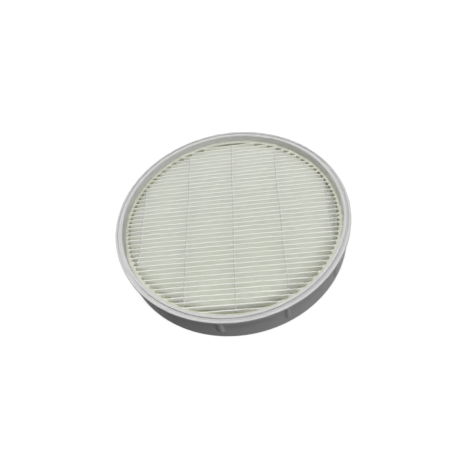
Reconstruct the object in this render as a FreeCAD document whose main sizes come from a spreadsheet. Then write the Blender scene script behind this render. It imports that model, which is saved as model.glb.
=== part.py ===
# Round pleated filter cartridge: a moulded ring, a folded sheet of filter paper, the potting that
# seals the paper into the ring, and the strings of hot-melt that keep the pleats apart.
# Millimetres. +Z is up, X runs along the pleats, and the origin is the middle of the underside.

import FreeCAD
import Part
import Sketcher
import math
import os

X_AXIS = FreeCAD.Vector(1, 0, 0)
Z_AXIS = FreeCAD.Vector(0, 0, 1)
ORIGIN_POINT = (-1, 1)

DRIVING = {
    # Moulded ring
    "bore_radius": 70.4,
    "wall_thickness": 3.4,
    "frame_height": 21.6,
    "flange_overhang": 1.2,
    "flange_thickness": 2.4,
    "outer_lip_width": 1.4,
    "groove_width": 1.5,
    "groove_depth": 1.2,
    "inner_lip_rise": 0.4,
    "ledge_width": 3.9,
    "ledge_thickness": 1.8,
    "lip_bevel": 0.5,
    "groove_bevel": 0.25,
    "base_bevel": 0.6,
    # Ribs on the outside of the wall
    "rib_count": 12,
    "rib_width": 3.8,
    "rib_crown": 1.2,
    "rib_height": 1.15,
    "rib_root": 0.45,
    "rib_length": 11.5,
    "rib_turn": 24.3,
    # Folded paper
    "pleat_pitch": 3.35,
    "sheet_thickness": 0.35,
    "tip_width": 1.0,
    "tip_drop": 4.0,
    # Potting
    "potting_width": 2.7,
    "potting_drop": 0.3,
    "potting_dip": 0.6,
    # Hot-melt strings
    "bead_margin": 7.1,
    "bead_shift": 1.6,
    "bead_width": 1.4,
    "bead_cap": 0.3,
    "bead_depth": 6.0,
    "bead_end_gap": 1.6,
}

DERIVED = {
    "wall_radius": "=bore_radius + wall_thickness",
    "rim_radius": "=wall_radius + flange_overhang",
    "flange_underside": "=frame_height - flange_thickness",
    "groove_outer_radius": "=rim_radius - outer_lip_width",
    "groove_inner_radius": "=groove_outer_radius - groove_width",
    "groove_floor": "=frame_height - groove_depth",
    "inner_lip_top": "=frame_height + inner_lip_rise",
    "ledge_radius": "=bore_radius - ledge_width",
    "rib_bottom": "=flange_underside - rib_length",
    "rib_foot": "=wall_radius - rib_root",
    "rib_top": "=wall_radius + rib_height",
    "half_rib": "=rib_width / 2",
    "half_crown": "=rib_crown / 2",
    "pack_radius": "=bore_radius - potting_width",
    "pack_top": "=frame_height - tip_drop",
    "pleat_count": "=2 * ceil(pack_radius / pleat_pitch)",
    "half_pitch": "=pleat_pitch / 2",
    "half_tip": "=tip_width / 2",
    "crest_roof": "=pack_top - sheet_thickness",
    "valley_floor": "=ledge_thickness + sheet_thickness",
    # Half-angle tangent of a pleat's side that keeps the sheet equally thick in its folds and its sides
    "side_rise": "=pack_top - valley_floor",
    "side_run": "=half_pitch - tip_width",
    "side_reach": "=side_rise + 2 * sheet_thickness",
    "side_tangent": "=(sqrt(side_run ^ 2 + side_rise * side_reach) - side_run) / side_reach",
    "half_inner_tip": "=half_tip - sheet_thickness * side_tangent",
    "upper_foot": "=half_pitch - half_inner_tip",
    "lower_foot": "=half_pitch - half_tip",
    "first_crest": "=-(pleat_count - 1) * half_pitch",
    "first_lower_crest": "=first_crest + half_pitch",
    "trim_radius": "=2 * rim_radius",
    "potting_top": "=pack_top - potting_drop",
    "potting_edge": "=potting_top - potting_dip",
    "bead_top": "=pack_top + bead_cap",
    "bead_bottom": "=pack_top - bead_depth",
    "bead_foot": "=half_tip + bead_depth * (upper_foot - half_tip) / side_rise",
    "bead_reach": "=pack_radius - bead_end_gap",
    "bead_spacing": "=(pack_radius - bead_margin) / 2",
    "turned_over": "=pack_top + ledge_thickness",
}

BEAD_STEPS = (-2, -1, 0, 1, 2)

doc = FreeCAD.newDocument("pleated_filter")
sheet = doc.addObject("Spreadsheet::Sheet", "Sizes")
for row, (name, value) in enumerate({**DRIVING, **DERIVED}.items(), 1):
    sheet.set(f"A{row}", name)
    sheet.set(f"B{row}", str(value))
    sheet.setAlias(f"B{row}", name)
doc.recompute()


def size(name):
    """Present value of a named size, or zero where no size is named."""
    return float(sheet.get(name)) if name else 0.0


def make_body(label):
    """Empty body whose label names the sub-part."""
    body = doc.addObject("PartDesign::Body", label)
    body.Label = label
    return body


def origin_feature(body, role):
    """One of a body's own origin planes or axes."""
    return next(item for item in body.Origin.OriginFeatures if item.Role == role)


def make_sketch(body, name, plane):
    """Sketch on one of the body's own origin planes."""
    sketch = body.newObject("Sketcher::SketchObject", name)
    sketch.AttachmentSupport = [(origin_feature(body, plane), "")]
    sketch.MapMode = "FlatFace"
    return sketch


def drive(sketch, kind, *where, by):
    """Dimension of a sketch, bound to a named size."""
    number = sketch.addConstraint(Sketcher.Constraint(kind, *where, size(by)))
    sketch.setExpression(f"Constraints[{number}]", f"Sizes.{by}")


def tie(sketch, kind, *where):
    """Geometric constraint of a sketch."""
    sketch.addConstraint(Sketcher.Constraint(kind, *where))


def start_of(side):
    """First point of a side in a sketch."""
    return side, 1


def end_of(side):
    """Last point of a side in a sketch."""
    return side, 2


def centre_of(ring):
    """Centre of a circle in a sketch."""
    return ring, 3


def closed_outline(sketch, places):
    """Straight sides from each place to the next, joined end to end."""
    points = [FreeCAD.Vector(*place) for place in places]
    segments = [Part.LineSegment(points[i - 1], points[i]) for i in range(1, len(points))]
    segments.append(Part.LineSegment(points[-1], points[0]))
    sides = [sketch.addGeometry(segment) for segment in segments]
    for i, side in enumerate(sides):
        tie(sketch, "Coincident", *end_of(sides[i - 1]), *start_of(side))
    return sides


def half_section(sketch, corners):
    """Outline in the radius and height plane, with corners given by named sizes and None for zero height."""
    level_axis = -1
    sides = closed_outline(sketch, [(size(radius), size(height)) for radius, height in corners])
    for i, (radius, height) in enumerate(corners):
        radius_before, height_before = corners[i - 1]
        if radius == radius_before:
            tie(sketch, "Vertical", sides[i - 1])
        else:
            drive(sketch, "DistanceX", *ORIGIN_POINT, *start_of(sides[i]), by=radius)
        if height == height_before:
            tie(sketch, "Horizontal", sides[i - 1])
        elif height:
            drive(sketch, "DistanceY", *ORIGIN_POINT, *start_of(sides[i]), by=height)
        else:
            tie(sketch, "PointOnObject", *start_of(sides[i]), level_axis)


def mirrored_section(sketch, corners):
    """Outline whose right half has the named corners and whose left half is its mirror image."""
    upright_axis = -2
    right = [(size(across), size(height)) for across, height in corners]
    left = [(-across, height) for across, height in reversed(right)]
    sides = closed_outline(sketch, right + left)
    for i, (across, height) in enumerate(corners):
        drive(sketch, "DistanceX", *ORIGIN_POINT, *start_of(sides[i]), by=across)
        drive(sketch, "DistanceY", *ORIGIN_POINT, *start_of(sides[i]), by=height)
        tie(sketch, "Symmetric", *start_of(sides[i]), *start_of(sides[-1 - i]), upright_axis)


def revolve(body, sketch, name):
    """Full turn of a half section about the upright axis."""
    feature = body.newObject("PartDesign::Revolution", name)
    feature.Profile = sketch
    feature.ReferenceAxis = (origin_feature(body, "Z_Axis"), [""])
    feature.Angle = 360
    doc.recompute()
    return feature


def bevel_edges(body, name, base, places, bevel):
    """Bevel on the circular edges of a turned shape at the named radii and heights."""
    found = []
    for number, edge in enumerate(base.Shape.Edges, 1):
        if not isinstance(edge.Curve, Part.Circle):
            continue
        for radius, height in places:
            same_radius = math.isclose(edge.Curve.Radius, size(radius), abs_tol=1e-6)
            if same_radius and math.isclose(edge.Curve.Center.z, size(height), abs_tol=1e-6):
                found.append(f"Edge{number}")
    feature = body.newObject("PartDesign::Chamfer", name)
    feature.Base = (base, found)
    feature.setExpression("Size", f"Sizes.{bevel}")
    doc.recompute()
    return feature


def extrude_across(body, sketch, name, length):
    """Pad to both sides of the sketch."""
    pad = body.newObject("PartDesign::Pad", name)
    pad.Profile = sketch
    pad.SideType = "Symmetric"
    pad.setExpression("Length", length)
    return pad


def repeat_pleats(body, sketch, pad, name, count):
    """Copies of one pleat's width, side by side along Y."""
    pattern = body.newObject("PartDesign::LinearPattern", name)
    pattern.Originals = [pad]
    pattern.Direction = (sketch, ["H_Axis"])
    pattern.Mode = "Spacing"
    pattern.setExpression("Offset", "Sizes.pleat_pitch")
    pattern.setExpression("Occurrences", count)
    body.Tip = pattern


def trim_round(body, name, kept_radius):
    """Cut away what lies outside an upright cylinder."""
    sketch = make_sketch(body, f"{name}_outline", "XY_Plane")
    for radius in (kept_radius, "trim_radius"):
        edge = sketch.addGeometry(Part.Circle(FreeCAD.Vector(), Z_AXIS, size(radius)))
        tie(sketch, "Coincident", *centre_of(edge), *ORIGIN_POINT)
        drive(sketch, "Radius", edge, by=radius)
    pocket = body.newObject("PartDesign::Pocket", name)
    pocket.Profile = sketch
    pocket.Type = "ThroughAll"
    pocket.SideType = "Symmetric"
    body.Tip = pocket


def make_frame():
    """Ring with a ledge under the paper and a flange on top, whose two lips stand beside a seal groove."""
    body = make_body("frame")
    section = make_sketch(body, "frame_section", "XZ_Plane")
    half_section(section, (
        ("ledge_radius", None),
        ("wall_radius", None),
        ("wall_radius", "flange_underside"),
        ("rim_radius", "flange_underside"),
        ("rim_radius", "frame_height"),
        ("groove_outer_radius", "frame_height"),
        ("groove_outer_radius", "groove_floor"),
        ("groove_inner_radius", "groove_floor"),
        ("groove_inner_radius", "inner_lip_top"),
        ("bore_radius", "inner_lip_top"),
        ("bore_radius", "ledge_thickness"),
        ("ledge_radius", "ledge_thickness"),
    ))
    ring = revolve(body, section, "frame_ring")
    lips = (("rim_radius", "frame_height"), ("bore_radius", "inner_lip_top"))
    ring = bevel_edges(body, "lip_bevels", ring, lips, "lip_bevel")
    groove = (("groove_outer_radius", "frame_height"), ("groove_inner_radius", "inner_lip_top"))
    ring = bevel_edges(body, "groove_bevels", ring, groove, "groove_bevel")
    bevel_edges(body, "foot_bevel", ring, (("wall_radius", None),), "base_bevel")
    add_ribs(body)
    return body


def add_ribs(body):
    """Upright ribs with sloping flanks under the flange, evenly spaced round the wall."""
    sketch = make_sketch(body, "rib_outline", "XY_Plane")
    sketch.AttachmentOffset = FreeCAD.Placement(FreeCAD.Vector(), FreeCAD.Rotation(Z_AXIS, size("rib_turn")))
    sketch.setExpression("AttachmentOffset.Rotation.Angle", "Sizes.rib_turn")
    sketch.setExpression("AttachmentOffset.Base.z", "Sizes.rib_bottom")
    mirrored_section(sketch, (("half_rib", "rib_foot"), ("half_crown", "rib_top")))
    rib = body.newObject("PartDesign::Pad", "rib")
    rib.Profile = sketch
    rib.setExpression("Length", "Sizes.rib_length")
    ribs = body.newObject("PartDesign::PolarPattern", "ribs")
    ribs.Originals = [rib]
    ribs.Axis = (origin_feature(body, "Z_Axis"), [""])
    ribs.Angle = 360
    ribs.setExpression("Occurrences", "Sizes.rib_count")
    body.Tip = ribs


def make_media():
    """One sheet of filter paper creased into flat-tipped pleats and cut round, on the frame's ledge."""
    body = make_body("pleated_media")
    sketch = make_sketch(body, "pleat_section", "YZ_Plane")
    sketch.setExpression("AttachmentOffset.Base.x", "Sizes.first_crest")
    mirrored_section(sketch, (
        ("half_inner_tip", "crest_roof"),
        ("lower_foot", "ledge_thickness"),
        ("half_pitch", "ledge_thickness"),
        ("half_pitch", "valley_floor"),
        ("upper_foot", "valley_floor"),
        ("half_tip", "pack_top"),
    ))
    pleat = extrude_across(body, sketch, "pleat", "2 * Sizes.rim_radius")
    repeat_pleats(body, sketch, pleat, "pleats", "Sizes.pleat_count")
    trim_round(body, "round_cut", "pack_radius")
    return body


def make_potting():
    """Ring of cast sealant between the cut edge of the paper and the frame, sunk a little along the frame."""
    body = make_body("potting_ring")
    section = make_sketch(body, "potting_section", "XZ_Plane")
    half_section(section, (
        ("pack_radius", "ledge_thickness"),
        ("bore_radius", "ledge_thickness"),
        ("bore_radius", "potting_edge"),
        ("pack_radius", "potting_top"),
    ))
    revolve(body, section, "potting_cast")
    return body


def make_bead(label, step, lower):
    """String of hot-melt across the pleats: a thin strip over the tips with a tooth in every valley."""
    body = make_body(label)
    sketch = make_sketch(body, f"{label}_section", "YZ_Plane")
    first = "first_lower_crest" if lower else "first_crest"
    sketch.setExpression("AttachmentOffset.Base.x", f"Sizes.{first}")
    sketch.setExpression("AttachmentOffset.Base.z", f"Sizes.bead_shift + {step} * Sizes.bead_spacing")
    mirrored_section(sketch, (
        ("half_tip", "pack_top"),
        ("bead_foot", "bead_bottom"),
        ("half_pitch", "bead_bottom"),
        ("half_pitch", "bead_top"),
    ))
    strip = extrude_across(body, sketch, f"{label}_strip", "Sizes.bead_width")
    count = "Sizes.pleat_count - 1" if lower else "Sizes.pleat_count"
    repeat_pleats(body, sketch, strip, f"{label}_teeth", count)
    trim_round(body, f"{label}_ends", "bead_reach")
    if lower:
        body.Placement = FreeCAD.Placement(FreeCAD.Vector(), FreeCAD.Rotation(X_AXIS, 180))
        body.setExpression("Placement.Base.z", "Sizes.turned_over")
    return body


sub_parts = [make_frame(), make_media(), make_potting()]
for number, step in enumerate(BEAD_STEPS, 1):
    sub_parts.append(make_bead(f"upper_bead_{number}", step, lower=False))
    sub_parts.append(make_bead(f"lower_bead_{number}", step, lower=True))
doc.recompute()

for item in doc.Objects:
    if "Invalid" in item.State or "Error" in item.State:
        raise RuntimeError(f"{item.Label} did not build: {item.State}")
for part in sub_parts:
    if part.Shape.isNull() or not part.Shape.isValid():
        raise RuntimeError(f"{part.Label} has no valid shape")

os.makedirs("parts", exist_ok=True)
for part in sub_parts:
    part.Shape.exportStep(f"parts/{part.Label}.step")
    print(part.Label, len(part.Shape.Solids), "solid", round(part.Shape.Volume, 1), "cubic mm")
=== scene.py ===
import math

import bmesh
import bpy
import numpy as np
from mathutils import Matrix, Vector


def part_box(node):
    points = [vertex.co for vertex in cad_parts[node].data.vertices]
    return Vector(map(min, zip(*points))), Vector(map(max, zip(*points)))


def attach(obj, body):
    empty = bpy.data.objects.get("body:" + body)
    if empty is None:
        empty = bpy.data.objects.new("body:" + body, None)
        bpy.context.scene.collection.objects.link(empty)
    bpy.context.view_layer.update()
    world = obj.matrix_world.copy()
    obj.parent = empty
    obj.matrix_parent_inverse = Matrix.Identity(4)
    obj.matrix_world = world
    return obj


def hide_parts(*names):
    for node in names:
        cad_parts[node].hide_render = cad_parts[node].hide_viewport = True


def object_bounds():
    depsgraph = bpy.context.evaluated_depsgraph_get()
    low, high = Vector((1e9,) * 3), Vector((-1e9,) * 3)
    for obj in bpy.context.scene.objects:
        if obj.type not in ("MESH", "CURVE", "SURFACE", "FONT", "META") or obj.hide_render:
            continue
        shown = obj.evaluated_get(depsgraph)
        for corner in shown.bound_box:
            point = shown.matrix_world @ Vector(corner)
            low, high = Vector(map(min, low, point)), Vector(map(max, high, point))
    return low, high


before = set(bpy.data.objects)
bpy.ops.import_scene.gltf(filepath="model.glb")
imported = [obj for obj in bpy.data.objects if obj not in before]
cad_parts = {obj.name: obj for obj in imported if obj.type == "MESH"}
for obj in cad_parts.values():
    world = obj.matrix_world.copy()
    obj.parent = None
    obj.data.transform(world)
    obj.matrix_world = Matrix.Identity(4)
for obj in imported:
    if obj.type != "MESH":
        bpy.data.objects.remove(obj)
cad_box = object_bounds()

# Moulded ring
# One injection moulding in white plastic with a fine satin face. Its flange carries two lips beside a seal
# groove, whose floor is darkened on the near right side as painted shade. Twelve ribs stiffen the wall under
# the flange, and a ledge at the foot carries the paper.
MM = 0.001
ring_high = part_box("frame")[1]
rim_radius = ring_high.x
inner_lip_top = ring_high.z
bore_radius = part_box("potting_ring")[1].x
ledge_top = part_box("pleated_media")[0].z
flange_overhang = 1.2 * MM
flange_thickness = 2.4 * MM
inner_lip_rise = 0.4 * MM
outer_lip_width = 1.4 * MM
groove_width = 1.5 * MM
groove_depth = 1.2 * MM
ledge_width = 3.9 * MM
lip_round = 0.5 * MM
bore_round = 0.9 * MM
groove_round = 0.15 * MM
flange_round = 0.25 * MM
foot_round = 0.6 * MM
steps_in_round = 6
wall_radius = rim_radius - flange_overhang
outer_lip_top = inner_lip_top - inner_lip_rise
flange_underside = outer_lip_top - flange_thickness
groove_outer = rim_radius - outer_lip_width
groove_inner = groove_outer - groove_width
groove_floor = outer_lip_top - groove_depth
ledge_radius = bore_radius - ledge_width
rib_count = 12
rib_turn = math.radians(24.3)
rib_width = 3.8 * MM
rib_crown = 1.2 * MM
rib_height = 1.15 * MM
rib_length = 11.5 * MM
rib_end_round = 0.6 * MM
rib_end_shares = np.array([0, 0.12, 0.35, 0.65, 1])
rib_edge_soft = 0.25 * MM
soft_samples = 9
rib_bottom = flange_underside - rib_length
stations_across_rib = 21
stations_between_ribs = 18
hair = 0.01 * MM
map_gap = 0.02
map_sides = 0.97
map_caps = ((0.975, 0.985), (0.99, 1.0))
flat_weight = 100
grain_low, grain_high = 0.3, 0.7
no_painted_shade = (1, 1, 1)
ring_pale = (0.76, 0.76, 0.76)
ring_bright = (0.80, 0.80, 0.795)
groove_painted_shade = (0.83, 0.83, 0.825)
painted_shade_climb = 0.25 * MM
painted_shade_side = math.radians(-60)
painted_shade_starts = -0.4 * groove_inner
painted_shade_full = 0.2 * groove_inner


def rounded_outline(corners):
    """Closed outline of radii and heights, with an arc at each corner that has a rounding."""
    outline = []
    for i, (radius, height, rounding) in enumerate(corners):
        corner = np.array([radius, height])
        if not rounding:
            outline.append(corner)
            continue
        before = np.array(corners[i - 1][:2]) - corner
        after = np.array(corners[(i + 1) % len(corners)][:2]) - corner
        before /= np.linalg.norm(before)
        after /= np.linalg.norm(after)
        half_angle = math.acos(before @ after) / 2
        reach = rounding / math.tan(half_angle)
        inward = (before + after) / np.linalg.norm(before + after)
        centre = corner + inward * rounding / math.sin(half_angle)
        start = corner + before * reach - centre
        finish = corner + after * reach - centre
        sweep = math.pi - 2 * half_angle
        for share in np.linspace(0, 1, steps_in_round + 1):
            arm = math.sin((1 - share) * sweep) * start + math.sin(share * sweep) * finish
            outline.append(centre + arm / math.sin(sweep))
    return np.array(outline)


def turned(radius, turns, height):
    """Points at radii and heights, turned to bearings about the upright axis."""
    height = np.broadcast_to(height, radius.shape)
    return np.stack([radius * np.cos(turns)[:, None], radius * np.sin(turns)[:, None], height], axis=-1)


def strip_map(rings, joined):
    """Flat map of a skin, corner by corner, cut across its longer way into strips that lie side by side."""
    closing = np.concatenate([rings, rings[:1]]) if joined else rings
    round_loop = np.concatenate([rings, rings[:, :1]], axis=1)
    along = np.linalg.norm(np.diff(closing, axis=0), axis=2).mean(axis=1)
    around = np.linalg.norm(np.diff(round_loop, axis=1), axis=2).mean(axis=0)
    long_way, short_way = (along, around) if along.sum() > around.sum() else (around, along)
    strips = max(1, round(math.sqrt(long_way.sum() / short_way.sum())))
    strip = np.arange(len(long_way)) * strips // len(long_way)
    ends = np.concatenate([[0], np.cumsum(long_way)])
    firsts = np.array([ends[:-1][strip == k].min() for k in range(strips)])
    lasts = np.array([ends[1:][strip == k].max() for k in range(strips)])
    low = (ends[:-1] - firsts[strip]) / (lasts - firsts)[strip]
    high = (ends[1:] - firsts[strip]) / (lasts - firsts)[strip]
    across = np.concatenate([[0], np.cumsum(short_way)]) / short_way.sum()
    left = (strip[:, None] + map_gap + (1 - 2 * map_gap) * across[None, :-1]) / strips
    right = (strip[:, None] + map_gap + (1 - 2 * map_gap) * across[None, 1:]) / strips
    low = np.broadcast_to(low[:, None], left.shape)
    high = np.broadcast_to(high[:, None], left.shape)
    if long_way is along:
        corners = [(left, low), (left, high), (right, high), (right, low)]
        return np.stack([np.stack(corner, axis=-1) for corner in corners], axis=2).reshape(-1, 4, 2)
    corners = [(left, low), (right, low), (right, high), (left, high)]
    laid = np.stack([np.stack(corner, axis=-1) for corner in corners], axis=2)
    return laid.transpose(1, 0, 2, 3).reshape(-1, 4, 2)


def skin(name, rings, joined):
    """Mesh piece through rings of points: joined rings close into a hoop, others are capped at both ends."""
    count, size = rings.shape[:2]
    number = np.arange(count * size).reshape(count, size)
    here = number if joined else number[:-1]
    there = np.roll(number, -1, axis=0)[: len(here)]
    quads = np.stack([here, there, np.roll(there, -1, axis=1), np.roll(here, -1, axis=1)], axis=-1)
    quads = quads.reshape(-1, 4)
    laid = strip_map(rings, joined) * map_sides
    if not joined:
        out = np.arange(size // 2 - 1)
        cap = np.stack([out, out + 1, size - 2 - out, size - 1 - out], axis=-1)
        quads = np.concatenate([quads, cap, cap + (count - 1) * size])
        step = np.linspace(0, 1, size // 2)
        for low, high in map_caps:
            sides = [(low, step[:-1]), (low, step[1:]), (high, step[1:]), (high, step[:-1])]
            corners = [np.stack([np.full(len(out), u), v], axis=-1) for u, v in sides]
            laid = np.concatenate([laid, np.stack(corners, axis=1)])
    mesh = bpy.data.meshes.new(name)
    mesh.from_pydata(rings.reshape(-1, 3).tolist(), [], quads.tolist())
    mesh.uv_layers.new(name="OFBake").data.foreach_set("uv", laid.ravel())
    shell = bmesh.new()
    shell.from_mesh(mesh)
    bmesh.ops.recalc_face_normals(shell, faces=shell.faces)
    shell.to_mesh(mesh)
    shell.free()
    mesh.shade_smooth()
    piece = bpy.data.objects.new(name, mesh)
    bpy.context.scene.collection.objects.link(piece)
    even = piece.modifiers.new("even_shading", "WEIGHTED_NORMAL")
    even.weight = flat_weight
    return piece


def shader_socket(finish, name):
    """Socket of a material's main shader."""
    return finish.node_tree.nodes["Principled BSDF"].inputs[name]


def start_finish(name, shine):
    """New material, and the places on the piece that its grain is drawn by."""
    finish = bpy.data.materials.new(name)
    finish.use_nodes = True
    shader_socket(finish, "Specular IOR Level").default_value = shine
    place = finish.node_tree.nodes.new("ShaderNodeTexCoord")
    return finish, place.outputs["Object"]


def work_out(finish, kind, operation, *values):
    """Outputs of a node that works on sockets and plain values."""
    node = finish.node_tree.nodes.new(kind)
    node.operation = operation
    for socket, value in zip(node.inputs, values):
        if isinstance(value, bpy.types.NodeSocket):
            finish.node_tree.links.new(value, socket)
        else:
            socket.default_value = value
    return node.outputs


def product(finish, one, other):
    """Product of two numbers."""
    return work_out(finish, "ShaderNodeMath", "MULTIPLY", one, other)["Value"]


def between(finish, value, low, high):
    """One for a number between two ends, and nought for any other."""
    return work_out(finish, "ShaderNodeMath", "COMPARE", value, (low + high) / 2, (high - low) / 2)["Value"]


def follow(finish, value, first, last, low=0, high=1):
    """Number that goes from low to high while a value goes from first to last."""
    limits = finish.node_tree.nodes.new("ShaderNodeMapRange")
    limits.inputs["From Min"].default_value = first
    limits.inputs["From Max"].default_value = last
    limits.inputs["To Min"].default_value = low
    limits.inputs["To Max"].default_value = high
    finish.node_tree.links.new(value, limits.inputs["Value"])
    return limits.outputs["Result"]


def height_of(finish, place):
    """Height of a place on the part."""
    spot = finish.node_tree.nodes.new("ShaderNodeSeparateXYZ")
    finish.node_tree.links.new(place, spot.inputs["Vector"])
    return spot.outputs["Z"]


def from_axis(finish, place, shift=0):
    """Distance of a place from the upright axis, or from that axis shifted to the near side."""
    level = work_out(finish, "ShaderNodeVectorMath", "MULTIPLY_ADD", place, (1, 1, 0), (0, shift, 0))
    return work_out(finish, "ShaderNodeVectorMath", "LENGTH", level["Vector"])["Value"]


def grain(finish, place, size, detail, stretch=(1, 1, 1)):
    """Noise with grains of a real size, drawn out along the axes."""
    nodes, links = finish.node_tree.nodes, finish.node_tree.links
    mapping = nodes.new("ShaderNodeMapping")
    mapping.inputs["Scale"].default_value = [1 / reach for reach in stretch]
    noise = nodes.new("ShaderNodeTexNoise")
    noise.inputs["Scale"].default_value = 1 / size
    noise.inputs["Detail"].default_value = detail
    links.new(place, mapping.inputs["Vector"])
    links.new(mapping.outputs["Vector"], noise.inputs["Vector"])
    return noise.outputs["Fac"]


def tint(finish, pattern, pale, bright):
    """Colour that follows a grain between two shades."""
    ramp = finish.node_tree.nodes.new("ShaderNodeValToRGB")
    ramp.color_ramp.elements[0].position = grain_low
    ramp.color_ramp.elements[0].color = (*pale, 1)
    ramp.color_ramp.elements[1].position = grain_high
    ramp.color_ramp.elements[1].color = (*bright, 1)
    finish.node_tree.links.new(pattern, ramp.inputs["Fac"])
    finish.node_tree.links.new(ramp.outputs["Color"], shader_socket(finish, "Base Color"))


def shade(finish, share, stops):
    """Multiplies the colour of a material by painted shade that follows a share from nought to one."""
    ramp = finish.node_tree.nodes.new("ShaderNodeValToRGB")
    elements = ramp.color_ramp.elements
    for position in stops:
        if 0 < position < 1:
            elements.new(position)
    for element, colour in zip(elements, stops.values()):
        element.color = (*colour, 1)
    socket = shader_socket(finish, "Base Color")
    unshaded = socket.links[0].from_socket
    shaded = work_out(finish, "ShaderNodeVectorMath", "MULTIPLY", unshaded, ramp.outputs["Color"])
    finish.node_tree.links.new(share, ramp.inputs["Fac"])
    finish.node_tree.links.new(shaded["Vector"], socket)


def roughen(finish, pattern, low, high):
    """Roughness that follows a grain between two ends."""
    roughness = follow(finish, pattern, grain_low, grain_high, low, high)
    finish.node_tree.links.new(roughness, shader_socket(finish, "Roughness"))


def emboss(finish, pattern, depth, strength):
    """Fine relief that follows a grain."""
    bump = finish.node_tree.nodes.new("ShaderNodeBump")
    bump.inputs["Strength"].default_value = strength
    bump.inputs["Distance"].default_value = depth
    finish.node_tree.links.new(pattern, bump.inputs["Height"])
    finish.node_tree.links.new(bump.outputs["Normal"], shader_socket(finish, "Normal"))


def dress(piece, finish, slot, *nodes):
    """Gives a piece its finish, sets it on the part and lets it stand for its nodes."""
    piece.data.materials.append(finish)
    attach(piece, "root")
    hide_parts(*nodes)


ring_outline = rounded_outline(
    [
        (ledge_radius, 0, flange_round),
        (wall_radius, 0, foot_round),
        *[(wall_radius, height, 0) for height in rib_end_shares * rib_end_round + rib_bottom],
        (wall_radius, flange_underside, flange_round),
        (rim_radius, flange_underside, flange_round),
        (rim_radius, outer_lip_top, lip_round),
        (groove_outer, outer_lip_top, groove_round),
        (groove_outer, groove_floor, groove_round),
        (groove_inner, groove_floor, groove_round),
        (groove_inner, inner_lip_top, groove_round),
        (bore_radius, inner_lip_top, bore_round),
        (bore_radius, ledge_top, 0),
        (ledge_radius, ledge_top, flange_round),
    ]
)
outline_radius, outline_height = ring_outline.T
rib_half_angle = rib_width / 2 / wall_radius
rib_spacing = 2 * math.pi / rib_count
across_rib = np.linspace(-1, 1, stations_across_rib)
beyond_rib = np.linspace(rib_half_angle, rib_spacing - rib_half_angle, stations_between_ribs + 2)[1:-1]
edge_samples = np.linspace(-rib_edge_soft, rib_edge_soft, soft_samples)
softened = np.abs(across_rib[:, None] * rib_width / 2 + edge_samples[None, :])
rib_rise = np.clip((rib_width - 2 * softened) / (rib_width - rib_crown), 0, 1).mean(axis=1)
rib_rise = np.concatenate([rib_rise, np.zeros(stations_between_ribs)])
one_rib = np.concatenate([across_rib * rib_half_angle, beyond_rib])
turns = np.concatenate([rib_turn + k * rib_spacing + one_rib for k in range(rib_count)])
crowns = np.tile(rib_rise, rib_count)
up_rib = np.clip((outline_height - rib_bottom) / rib_end_round, 0, 1)
rib_share = np.sqrt(1 - (1 - up_rib) ** 2)
on_ribs = (outline_radius > wall_radius - hair) & (outline_height < flange_underside + hair)
rib_reach = wall_radius + rib_height * crowns[:, None] * (rib_share * on_ribs)[None, :]
ring_radius = np.where(on_ribs, np.maximum(outline_radius[None, :], rib_reach), outline_radius[None, :])
ring_points = turned(ring_radius, turns, outline_height[None, :])
ring_plastic, ring_place = start_finish("satin_white_plastic", shine=0.05)
tint(ring_plastic, grain(ring_plastic, ring_place, size=7 * MM, detail=5), ring_pale, ring_bright)
ring_level = height_of(ring_plastic, ring_place)
# Painted shade: the floor of the groove is darkened, most on the near right side, for the shade that falls
# in it.
at_floor = between(ring_plastic, ring_level, flange_underside, groove_floor + painted_shade_climb)
beside_lips = between(ring_plastic, from_axis(ring_plastic, ring_place), groove_inner, groove_outer)
shaded_side_way = (math.cos(painted_shade_side), math.sin(painted_shade_side), 0)
toward_shaded_side = work_out(ring_plastic, "ShaderNodeVectorMath", "DOT_PRODUCT", ring_place, shaded_side_way)["Value"]
painted_shade_spread = follow(ring_plastic, toward_shaded_side, painted_shade_starts, painted_shade_full)
groove_shade_mask = product(ring_plastic, product(ring_plastic, at_floor, beside_lips), painted_shade_spread)
shade(ring_plastic, groove_shade_mask, {0: no_painted_shade, 1: groove_painted_shade})
moulded_grain = grain(ring_plastic, ring_place, size=0.25 * MM, detail=3)
roughen(ring_plastic, moulded_grain, low=0.42, high=0.56)
emboss(ring_plastic, moulded_grain, depth=0.02 * MM, strength=0.25)
dress(skin("moulded_ring", ring_points, joined=True), ring_plastic, "frame_plastic", "frame")

# Folded paper
# One long sheet of white filter paper, creased to and fro by a pleating machine, cut round and stood on
# the ledge. Its folds wander a little between the glue strings, and its cut ends are bedded in the potting.
pack_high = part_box("pleated_media")[1]
pack_radius = pack_high.x
pack_top = pack_high.z
pleat_pitch = 3.35 * MM
sheet_thickness = 0.3 * MM
fold_radius = 0.22 * MM
fold_steps = 5
side_steps = 3
columns = 41
bedding = 0.4 * MM
fold_wander = 0.09 * MM
crest_wander = 0.10 * MM
crest_settling = 1.6
seed = 11
wave_length = np.array([60, 34, 19, 11]) * MM
fold_set_spread = 0.6
least_free = 0.35
string_count = 5
end_shade_reach = 2.0 * MM
end_shade_shift = 1.2 * MM
end_shade_start = 0.5 * MM
end_shade_depth = 2.5 * MM
painted_end_shade = (0.88, 0.88, 0.79)
paper_pale = (0.972, 0.98, 0.943)
paper_bright = (0.984, 0.99, 0.964)
half_pitch = pleat_pitch / 2
last_fold = int(pack_radius // half_pitch)
pack_middle = (pack_top + ledge_top) / 2
fold_centre = (pack_top - ledge_top - sheet_thickness) / 2 - fold_radius
centre_gap = math.hypot(half_pitch, 2 * fold_centre)
side_lean = math.atan2(half_pitch, 2 * fold_centre) - math.asin(2 * fold_radius / centre_gap)
fold_turn = np.linspace(math.pi / 2, side_lean, fold_steps + 1)
fold_arc = fold_radius * np.stack([np.cos(fold_turn), np.sin(fold_turn)], axis=-1)
crest_path = fold_arc + (0, fold_centre)
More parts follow.
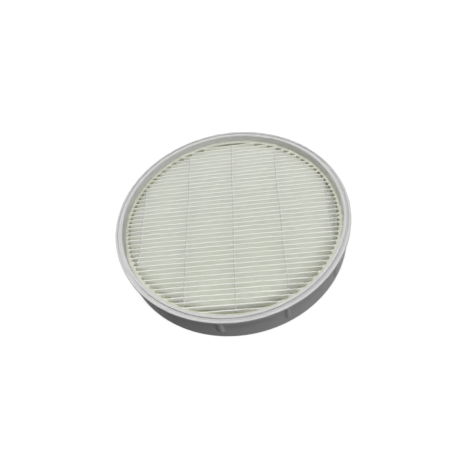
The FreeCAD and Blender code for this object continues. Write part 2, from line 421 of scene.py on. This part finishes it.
valley_path = np.array([half_pitch, 0]) - crest_path[::-1]
valley_path[:, 1] = -crest_path[::-1, 1]
side_shares = np.linspace(0, 1, side_steps + 1)[1:-1, None]
side_path = crest_path[-1] + side_shares * (valley_path[0] - crest_path[-1])
half_pleat = np.concatenate([crest_path, side_path, valley_path])
half_facing = np.concatenate([fold_turn, np.full(side_steps - 1, side_lean), fold_turn[::-1]])
rows_of_half = len(half_pleat) - 1
row_path, row_facing, row_fold, row_share = [], [], [], []
for fold in range(-last_fold, last_fold):
    goes_down = fold % 2 == 1
    path = half_pleat if goes_down else half_pleat[::-1] * (-1, 1) + (half_pitch, 0)
    facing = half_facing if goes_down else math.pi - half_facing[::-1]
    row_path.append(path[:-1] + (fold * half_pitch, pack_middle))
    row_facing.append(facing[:-1])
    row_fold.append(np.full(rows_of_half, fold + last_fold))
    row_share.append((path[:-1, 1] - path[0, 1]) / (path[-1, 1] - path[0, 1]))
row_path = np.concatenate(row_path)
row_facing = np.concatenate(row_facing)
row_fold = np.concatenate(row_fold)
row_share = np.concatenate(row_share)
row_normal = np.stack([np.cos(row_facing), np.sin(row_facing)], axis=-1)
string_boxes = [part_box(f"upper_bead_{k}") for k in range(1, string_count + 1)]
string_places = np.array([(low.x + high.x) / 2 for low, high in string_boxes])
string_spacing = string_places[1] - string_places[0]
draw = np.random.default_rng(seed)
fold_count = 2 * last_fold + 1
waves = len(wave_length)
wave_size = draw.normal(0, 1, (2, fold_count, waves)) / math.sqrt(waves)
wave_phase = draw.uniform(0, 2 * math.pi, (2, fold_count, waves))
fold_set = draw.normal(0, fold_set_spread, (2, fold_count))


def fold_drift(which, fold, across):
    """Drift of a fold from its true line, least where a string holds it."""
    angle = across[..., None] / wave_length * 2 * math.pi + wave_phase[which][fold]
    wave = (np.sin(angle) * wave_size[which][fold]).sum(axis=-1)
    half_way = string_spacing / 2
    from_string = np.abs((across - string_places[0] + half_way) % string_spacing - half_way)
    slack = np.sin(np.clip(from_string / string_spacing, 0, 0.5) * math.pi)
    return (wave + fold_set[which][fold]) * (least_free + (1 - least_free) * slack)


def paper_face(side):
    """Points of one face of the sheet, column by column."""
    face = row_path + side * row_normal * sheet_thickness / 2
    half_chord = np.sqrt((pack_radius + bedding) ** 2 - np.clip(np.abs(face[:, 0]), 0, pack_radius) ** 2)
    across = np.linspace(-1, 1, columns)[:, None] * half_chord[None, :]
    drift = [
        (1 - row_share) * fold_drift(which, row_fold, across)
        + row_share * fold_drift(which, row_fold + 1, across)
        for which in (0, 1)
    ]
    along = face[:, 0] + fold_wander * drift[0]
    height = face[:, 1] + crest_wander * (drift[1] - crest_settling)
    return np.stack([across, along, np.clip(height, ledge_top, pack_top)], axis=-1)


paper_points = np.concatenate([paper_face(1), paper_face(-1)[:, ::-1]], axis=1)
paper, paper_place = start_finish("white_filter_paper", shine=0.2)
fibres = grain(paper, paper_place, size=0.5 * MM, detail=6, stretch=(4, 1, 1))
clouding = grain(paper, paper_place, size=6 * MM, detail=6, stretch=(3, 1, 1))
tint(paper, clouding, paper_pale, paper_bright)
roughen(paper, fibres, low=0.82, high=0.98)
emboss(paper, fibres, depth=0.06 * MM, strength=0.5)
# Painted shade: the paper is darkened near its cut ends and further below the crests, for the shade that the
# potting and the ring cast into the valleys there.
near_end = follow(paper, from_axis(paper, paper_place, end_shade_shift), pack_radius - end_shade_reach, pack_radius)
below_crest = follow(paper, height_of(paper, paper_place), pack_top - end_shade_start, pack_top - end_shade_depth)
shade(paper, product(paper, near_end, below_crest), {0: no_painted_shade, 1: painted_end_shade})
dress(skin("folded_paper", paper_points, joined=False), paper, "filter_paper", "pleated_media")

# Potting
# Cream sealant poured into the gap between the ring and the cut ends of the paper. It sank along the ring's
# wall, wicked on to the ends of the pleats and left pockets between them. At the near side it ran in between
# the pleats, and it has set with a few lumps.
potting_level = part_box("potting_ring")[1].z
potting_swell = 0.5 * MM
potting_stations = 1080
potting_steps = 16
dip_depth = 1.0 * MM
dip_reach = 0.95 * MM
dip_fade = math.radians(8)
dip_turn = math.radians(9)
dip_least_side = 0.3
dip_least_lump = 0.1
dip_filling = 0.6 * MM
full_turn = math.radians(-90)
full_reach = math.radians(68)
pool_reach = 3.5 * MM
pool_fade = math.radians(25)
skirt_inset = np.array([0.08, 0.1, 0.12]) * MM
skirt_drop = np.array([0.35, 1.2, 4.5]) * MM
skirt_pooled = np.array([0, 0, 1])
wick_reach = 0.55 * MM
wick_rise = 0.2 * MM
pocket_reach = 0.5 * MM
pocket_sink = 0.8 * MM
edge_roll = 4
ripple_counts = (7, 13, 29, 53, 97)
ripple_sizes = (0.05, 0.05, 0.04, 0.04, 0.03)
ripple_in = 0.5 * MM
ripple_up = 0.6 * MM
last_phase = 6.28
lump_turns = np.radians([61.7, -0.7, -6.2, -9.8, -13.4, 118, 171, 204, 251, 290])
lump_heights = np.array([0.4, 0.5, 0.55, 0.45, 0.5, 0.15, 0.12, 0.16, 0.12, 0.15]) * MM
lump_widths = np.radians([1.6, 1.5, 1.3, 1.2, 1.4, 2, 2.5, 2, 2.4, 2])
lump_spread = 0.4
lump_edge = 0.5
potting_pale = (0.66, 0.67, 0.57)
potting_bright = (0.73, 0.74, 0.64)
painted_deep_share = 0.3
painted_deep_shade = (0.76, 0.76, 0.69)
painted_dark_shade = (0.70, 0.69, 0.60)
painted_shade_depth = 2.4 * MM


def turn_from(turn, other):
    """Turn from one bearing to another, by the shorter way round."""
    return (turn - other + math.pi) % (2 * math.pi) - math.pi


around = np.linspace(0, 2 * math.pi, potting_stations, endpoint=False)
ripple_phases = draw.uniform(0, last_phase, len(ripple_counts))
ripple = sum(
    size * np.sin(count * around + phase)
    for count, size, phase in zip(ripple_counts, ripple_sizes, ripple_phases)
)
off_lump = turn_from(around[:, None], lump_turns[None, :])
lumps = (lump_heights * np.exp(-((off_lump / lump_widths) ** 2))).sum(axis=1)
crest_share = (1 - np.cos(2 * math.pi * pack_radius * np.sin(around) / pleat_pitch)) / 2
end_on = np.abs(np.cos(around))
pocket = pocket_reach * (1 - crest_share) * end_on
wick = wick_reach * crest_share * end_on
inner_edge = pack_radius - wick + pocket - lump_spread * lumps + ripple_in * ripple
inner_rise = end_on * (wick_rise * crest_share - pocket_sink * (1 - crest_share)) + lump_edge * lumps
out_share = np.linspace(1, 0, potting_steps)[None, :]
top_radius = inner_edge[:, None] + out_share * (bore_radius - inner_edge)[:, None]
from_full = np.abs(turn_from(around, full_turn))
pooled = pool_reach * np.clip((full_reach - from_full) / pool_fade, 0, 1)
dip_share = np.clip((from_full - full_reach) / dip_fade, 0, 1)
dip_share *= np.clip(1 - lumps / dip_filling, dip_least_lump, 1)
dip_share *= dip_least_side + (1 - dip_least_side) * np.abs(np.cos(around - dip_turn))
dip = dip_depth * dip_share[:, None] * np.exp(-(((bore_radius - top_radius) / dip_reach) ** 2))
roll_off = (1 - out_share) ** edge_roll * inner_rise[:, None]
belly = np.sin(out_share * math.pi) * (lumps + ripple_up * ripple)[:, None]
top_height = np.minimum(potting_level + roll_off + belly - dip, potting_level + potting_swell)
foot_height = np.full((potting_stations, 1), ledge_top)
wall_side = np.full((potting_stations, 1), bore_radius)
skirt_radius = inner_edge[:, None] - pooled[:, None] * skirt_pooled - skirt_inset
skirt_height = top_height[:, -1:] - skirt_drop
potting_radius = np.concatenate([wall_side, top_radius, skirt_radius, pack_radius + pocket[:, None]], axis=1)
potting_height = np.concatenate([foot_height, top_height, skirt_height, foot_height], axis=1)
potting_points = turned(potting_radius, around, potting_height)
sealant, sealant_place = start_finish("cream_sealant", shine=0.5)
cloud = grain(sealant, sealant_place, size=3 * MM, detail=4)
tint(sealant, cloud, potting_pale, potting_bright)
roughen(sealant, cloud, low=0.38, high=0.55)
emboss(sealant, grain(sealant, sealant_place, size=1.1 * MM, detail=3), depth=0.12 * MM, strength=0.5)
# Painted shade: the sealant is darkened the lower it lies below its level, for the shade in the dips along
# the wall and in the pockets between the pleats.
depth_shade_share = follow(sealant, height_of(sealant, sealant_place), potting_level, potting_level - painted_shade_depth)
shade(sealant, depth_shade_share, {0: no_painted_shade, painted_deep_share: painted_deep_shade, 1: painted_dark_shade})
dress(skin("poured_sealant", potting_points, joined=True), sealant, "potting", "potting_ring")

# Glue strings
# Strings of hot-melt laid across the paper on both faces before it was folded. Each one lies thin over the
# crests and hangs into the valleys, where it holds neighbouring pleats apart.
string_half_width = 0.42 * MM
string_cap = 0.03 * MM
string_sag = 3.0 * MM
least_sag, most_sag = 0.7, 1.25
sag_power = 1.5
string_depth = 6 * MM
string_bite = 0.08 * MM
string_shoulder = 0.5 * MM
width_swell = 0.12
swell_length = 2.3 * MM
width_spread = 0.05
string_wander = 0.15 * MM
wander_length = 9 * MM
string_step = half_pitch / 6
string_arc = np.linspace(math.pi, 0, 8)
melt_pale = (0.79, 0.80, 0.775)
melt_bright = (0.85, 0.86, 0.835)
crest_outer = fold_radius + sheet_thickness / 2
melt, melt_place = start_finish("waxy_hot_melt", shine=0.5)
melt_cloud = grain(melt, melt_place, size=1.5 * MM, detail=3)
tint(melt, melt_cloud, melt_pale, melt_bright)
roughen(melt, melt_cloud, low=0.3, high=0.45)
emboss(melt, melt_cloud, depth=0.08 * MM, strength=0.4)


def string_rings(place, reach, phase):
    """Cross-sections of one string, from end to end across the pleats."""
    stations = np.arange(-reach, reach + string_step / 2, string_step)
    from_crest = np.abs((stations - phase) % pleat_pitch - half_pitch)
    on_crest = np.clip(from_crest / crest_outer, 0, 1)
    paper_height = pack_top - crest_outer * (1 - np.sqrt(1 - on_crest**2))
    paper_height -= np.maximum(from_crest - crest_outer, 0) / math.tan(side_lean)
    valley_share = (1 - np.cos(math.pi * from_crest / half_pitch)) / 2
    valley = np.floor((stations - phase) / pleat_pitch + 0.5).astype(int)
    valley -= valley.min()
    valley_sag = string_sag * draw.uniform(least_sag, most_sag, valley.max() + 1)[valley]
    top = pack_top + string_cap - valley_sag * valley_share**sag_power
    bottom = np.minimum(np.maximum(paper_height, pack_top - string_depth), top) - string_bite
    shoulder = np.maximum(bottom, top - string_shoulder)
    swell = width_swell * np.sin(stations / swell_length) + draw.normal(0, width_spread, len(stations))
    half_width = string_half_width * (1 + swell)
    middle = place + string_wander * np.sin(stations / wander_length + draw.uniform(0, last_phase))
    across = middle[:, None] + half_width[:, None] * np.cos(string_arc)[None, :]
    height = shoulder[:, None] + (top - shoulder)[:, None] * np.sin(string_arc)[None, :]
    across = np.concatenate([across[:, :1], across, across[:, -1:]], axis=1)
    height = np.concatenate([bottom[:, None], height, bottom[:, None]], axis=1)
    return np.stack([across, np.broadcast_to(stations[:, None], across.shape), height], axis=-1)


for number in range(1, string_count + 1):
    for face, phase in (("upper", 0), ("lower", half_pitch)):
        node = f"{face}_bead_{number}"
        low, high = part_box(node)
        rings = string_rings((low.x + high.x) / 2, high.y, phase)
        if face == "lower":
            rings[..., 2] = pack_top + ledge_top - rings[..., 2]
        dress(skin(f"{face}_glue_string_{number}", rings, joined=False), melt, "hot_melt", node)

# Floor
# A plain pale sweep under the part. It shows white to the lens and to reflections, and takes the part's
# shadow, but throws little light back, as the grey underside of the wall asks.
floor_half = 3.0
floor_glow = 0.8
fade_start = 0.2
fade_end = 1.2
floor_roughness = 0.9
floor_pale = (0.4, 0.4, 0.4)
floor_dull = (0.02, 0.02, 0.02)
white = (1, 1, 1, 1)
floor_signs = ((-1, -1), (1, -1), (1, 1), (-1, 1))
floor_mesh = bpy.data.meshes.new("floor")
floor_corners = [(x * floor_half, y * floor_half, cad_box[0].z) for x, y in floor_signs]
floor_mesh.from_pydata(floor_corners, [], [(0, 1, 2, 3)])
floor = bpy.data.objects.new("floor", floor_mesh)
bpy.context.scene.collection.objects.link(floor)


def show_and_light(surface, shown, lit, end):
    """Shows one shader to the lens, mirrors and clear pieces, and another to light that passes on."""
    nodes, links = surface.node_tree.nodes, surface.node_tree.links
    path = nodes.new("ShaderNodeLightPath").outputs
    seen = path["Is Camera Ray"]
    for kind in ("Is Glossy Ray", "Is Transmission Ray"):
        seen = work_out(surface, "ShaderNodeMath", "MAXIMUM", seen, path[kind])["Value"]
    mix = nodes.new("ShaderNodeMixShader")
    links.new(seen, mix.inputs["Fac"])
    links.new(lit, mix.inputs[1])
    links.new(shown, mix.inputs[2])
    links.new(mix.outputs["Shader"], nodes[end].inputs["Surface"])


floor_paint, floor_place = start_finish("pale_sweep", shine=0)
shader_socket(floor_paint, "Base Color").default_value = (*floor_pale, 1)
shader_socket(floor_paint, "Roughness").default_value = floor_roughness
shader_socket(floor_paint, "Emission Color").default_value = white
floor_far = work_out(floor_paint, "ShaderNodeVectorMath", "LENGTH", floor_place)["Value"]
floor_fade = follow(floor_paint, floor_far, fade_start, fade_end, floor_glow, 1)
floor_paint.node_tree.links.new(floor_fade, shader_socket(floor_paint, "Emission Strength"))
floor_shown = floor_paint.node_tree.nodes["Principled BSDF"]
floor_lit = floor_paint.node_tree.nodes.new("ShaderNodeBsdfDiffuse")
floor_lit.inputs["Color"].default_value = (*floor_dull, 1)
show_and_light(floor_paint, floor_shown.outputs["BSDF"], floor_lit.outputs["BSDF"], "Material Output")
floor_mesh.materials.append(floor_paint)

# Light
# A soft box overhead, a weaker one low on the right, which draws the ribs, and another behind, in a dim even
# room that looks white to the lens.
lens_turn = math.radians(9.041)
lamp_distance = 1.3
room_level = 0.03


def hang_lamp(name, lean, turn, side, watts):
    """Square lamp aimed at the part, leaning from overhead towards a bearing to the right of the lens."""
    lamp = bpy.data.lights.new(name, "AREA")
    lamp.size = side
    lamp.energy = watts
    stand = bpy.data.objects.new(name, lamp)
    bearing = Matrix.Rotation(lens_turn + math.radians(turn), 4, "Z")
    aim = bearing @ Matrix.Rotation(math.radians(lean), 4, "X")
    stand.matrix_world = aim @ Matrix.Translation((0, 0, lamp_distance))
    bpy.context.scene.collection.objects.link(stand)


hang_lamp("soft_box", lean=6, turn=0, side=0.4, watts=10.3)
hang_lamp("side_box", lean=62, turn=43, side=0.25, watts=3.1)
hang_lamp("back_box", lean=62, turn=215, side=0.5, watts=3.6)
room = bpy.data.worlds.new("even_room")
room.use_nodes = True
room_lit = room.node_tree.nodes["Background"]
room_lit.inputs["Color"].default_value = white
room_lit.inputs["Strength"].default_value = room_level
room_shown = room.node_tree.nodes.new("ShaderNodeBackground")
room_shown.inputs["Color"].default_value = white
show_and_light(room, room_shown.outputs["Background"], room_lit.outputs["Background"], "World Output")
bpy.context.scene.world = room

# Camera
# A hand-held view from above the near edge, rolled a little, with a slightly wide lens close to the part.
lens_tilt = math.radians(38.433)
lens_distance = 285.27 * MM
lens_yaw = math.radians(0.914)
lens_pitch = math.radians(-1.386)
lens_roll = math.radians(-12.650)
lens_length = 35.797
film_width = 36
nearest_seen = 0.01
light_bounces = 24
camera = bpy.data.cameras.new("camera")
camera.lens = lens_length
camera.sensor_width = film_width
camera.clip_start = nearest_seen
camera_stand = bpy.data.objects.new("camera", camera)
lens_swing = Matrix.Rotation(lens_turn, 4, "Z") @ Matrix.Rotation(lens_tilt, 4, "X")
lens_nod = Matrix.Rotation(lens_yaw, 4, "Y") @ Matrix.Rotation(lens_pitch, 4, "X")
lens_aim = lens_nod @ Matrix.Rotation(lens_roll, 4, "Z")
rim_centre = Vector((0, 0, outer_lip_top))
camera_stand.matrix_world = (
    Matrix.Translation(rim_centre) @ lens_swing @ Matrix.Translation((0, 0, lens_distance)) @ lens_aim
)
bpy.context.scene.collection.objects.link(camera_stand)
bpy.context.scene.camera = camera_stand
bpy.context.scene.cycles.max_bounces = light_bounces
bpy.context.scene.cycles.diffuse_bounces = light_bounces
bpy.context.scene.view_settings.view_transform = "Standard"
